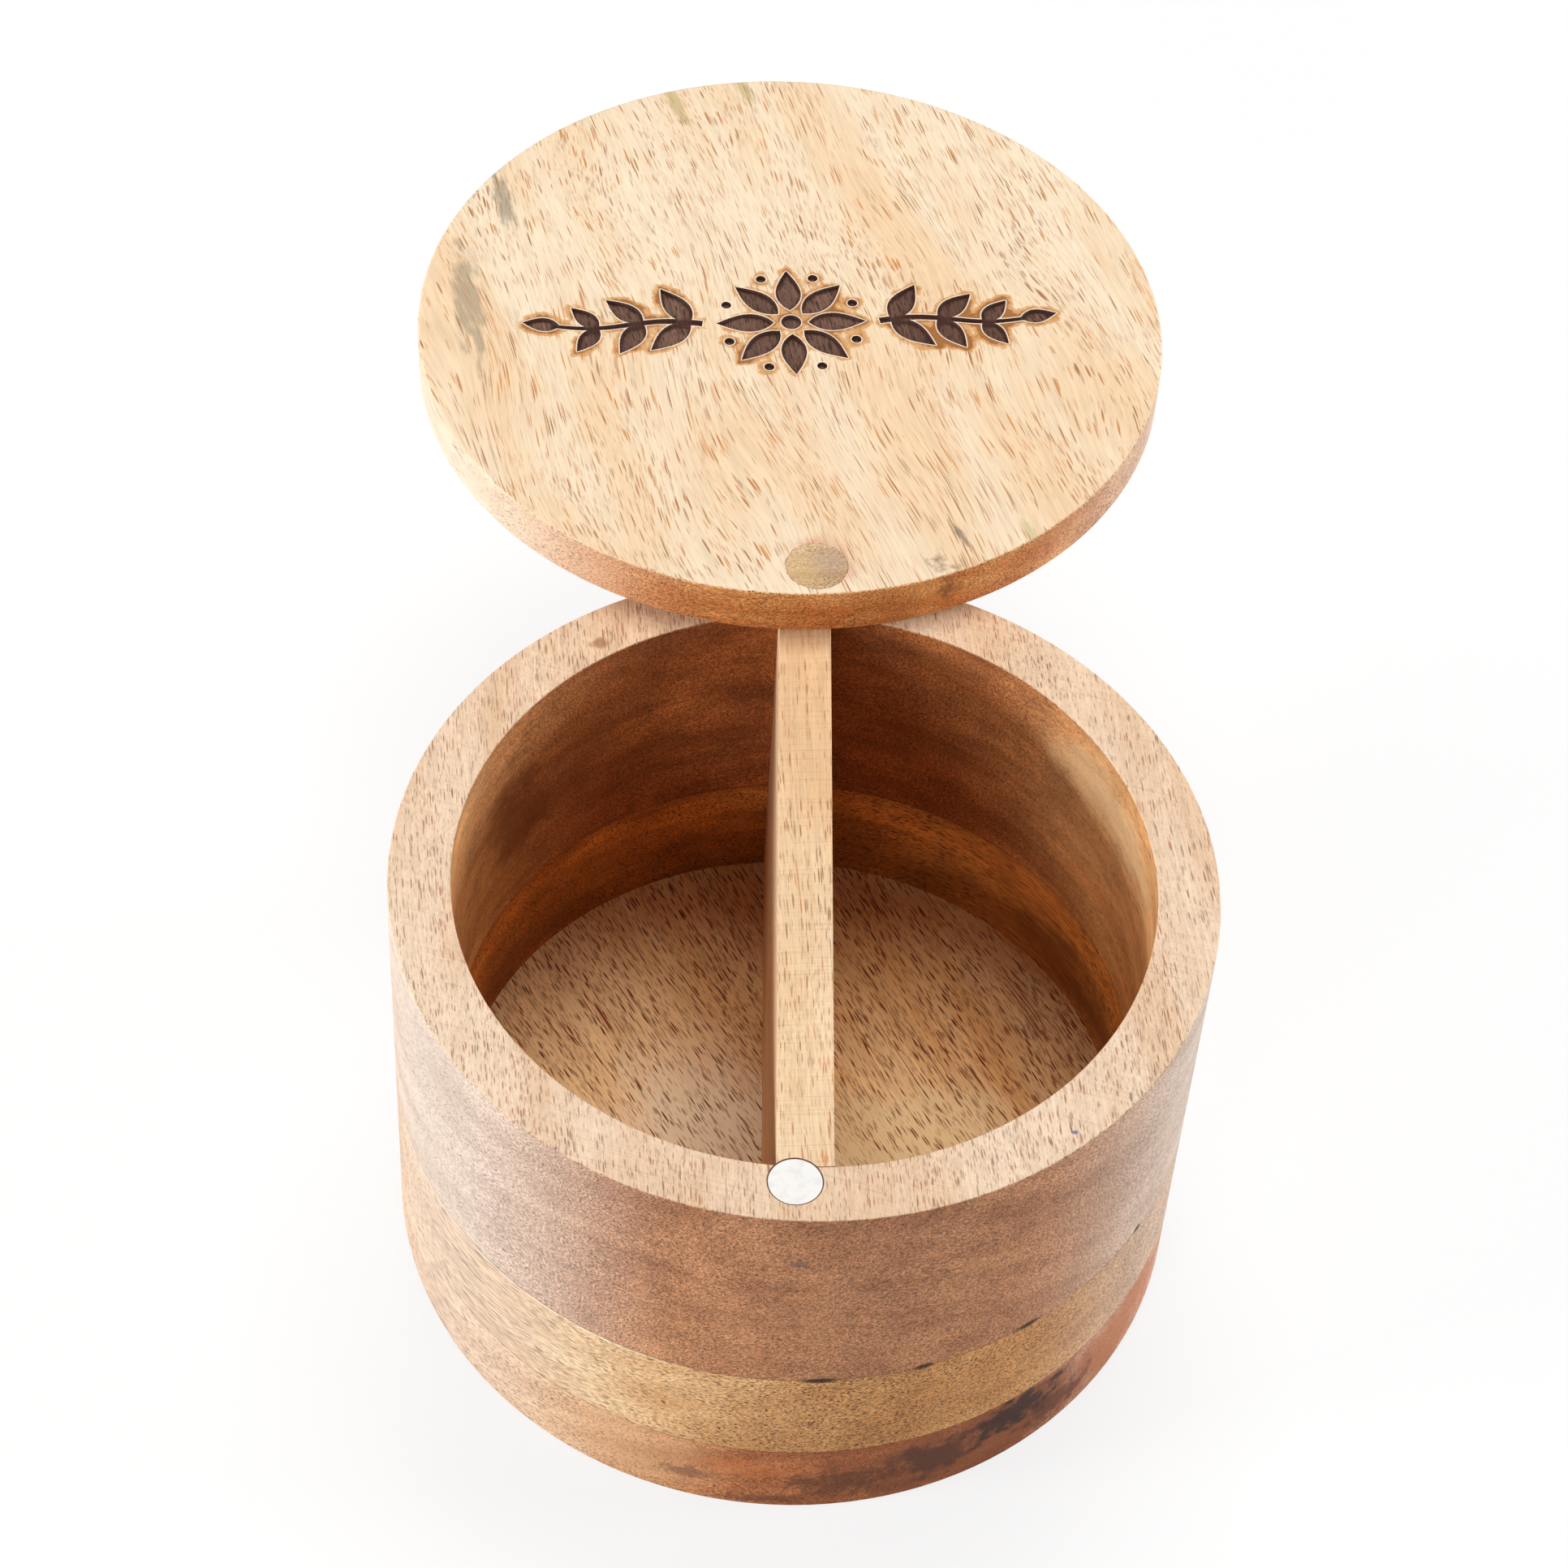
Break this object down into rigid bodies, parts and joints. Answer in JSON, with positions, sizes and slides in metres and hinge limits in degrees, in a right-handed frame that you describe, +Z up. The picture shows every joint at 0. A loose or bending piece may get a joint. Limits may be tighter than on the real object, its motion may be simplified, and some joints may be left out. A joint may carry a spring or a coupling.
{
  "type": "salt box",
  "caption": "Round wooden kitchen box with a central divider and a flat lid that swivels about a pivot in the rim and is held shut by magnets.",
  "frame": {"origin": "centre of the body's foot, on the surface that the box stands on", "axes": "+Z up; the lid's pivot is at +Y and the rim magnet at -Y, so the lid lies towards +Y when open as in the picture; +X is to the right of someone who faces the magnet side"},
  "size_m": [0.1319, 0.2392, 0.0882],
  "materials": {
    "base_wood": "oiled, sanded smooth, orange-brown with dark figure",
    "middle_wood": "oiled, sanded smooth, yellow-tan",
    "upper_wood": "oiled, sanded smooth, pinkish brown with fine pores",
    "divider_wood": "oiled, sanded smooth, pale tan",
    "lid_wood": "oiled, sanded smooth, pale straw with brown pores",
    "plug_wood": "sanded end grain, grey-brown",
    "magnet_nickel": "nickel plate, satin",
    "screw_steel": "zinc plated"
  },
  "bodies": {
    "box": {"base_disc": "base_wood", "middle_ring": "middle_wood", "upper_ring": "upper_wood", "divider": "divider_wood", "rim_magnet": "magnet_nickel", "pivot_screw": "screw_steel", "pivot_washer": "screw_steel"},
    "lid": {"lid": "lid_wood", "pivot_plug": "plug_wood", "lid_magnet": "magnet_nickel"}
  },
  "joints": [
    {"name": "lid_swivel", "type": "hinge", "parent": "box", "child": "lid", "pos_m": [0, 0.0566, 0.0797], "axis": [0, 0, 1], "range_deg": [-185.7, 174.3]}
  ]
}
